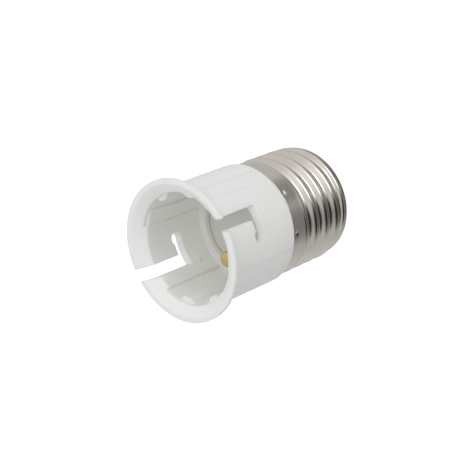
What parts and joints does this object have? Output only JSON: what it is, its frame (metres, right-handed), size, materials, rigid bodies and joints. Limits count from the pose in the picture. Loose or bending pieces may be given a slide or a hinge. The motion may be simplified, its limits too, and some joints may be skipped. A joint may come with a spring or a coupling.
{
  "type": "lamp socket adapter",
  "caption": "Lamp socket adapter with a flared white bayonet cup, two J slots and sprung brass plungers over a plated threaded screw cap.",
  "frame": {"origin": "middle of the centre contact's lower face, on which the adapter stands", "axes": "+Z along the lamp's axis, out of the bayonet mouth; the lamp slots open towards -Y and +Y"},
  "size_m": [0.0314, 0.0312, 0.047],
  "materials": {
    "white_moulding": "satin moulded",
    "carrier_moulding": "matt moulded",
    "brass": "turned",
    "spring_steel": "drawn wire",
    "blue_insulation": "smooth sleeve",
    "red_insulation": "smooth sleeve",
    "plated_contact": "pressed",
    "nickel_plate": "bright nickel plate"
  },
  "bodies": {
    "adapter": {"cup_body": "white_moulding", "contact_carrier": "carrier_moulding", "barrel_right": "brass", "barrel_left": "brass", "spring_right": "spring_steel", "spring_left": "spring_steel", "lead_to_shell": "blue_insulation", "lead_to_centre": "red_insulation", "centre_contact": "plated_contact", "screw_shell": "nickel_plate"},
    "plunger_right": {"plunger_right": "brass"},
    "plunger_left": {"plunger_left": "brass"}
  },
  "joints": [
    {"name": "plunger_right_press", "type": "slide", "parent": "adapter", "child": "plunger_right", "axis": [0, 0, -1], "range_m": [0, 0.004], "stiffness_N_per_m": 1200, "springref_m": -0.002, "deforming": ["spring_right"]},
    {"name": "plunger_left_press", "type": "slide", "parent": "adapter", "child": "plunger_left", "axis": [0, 0, -1], "range_m": [0, 0.004], "stiffness_N_per_m": 1200, "springref_m": -0.002, "deforming": ["spring_left"]}
  ]
}
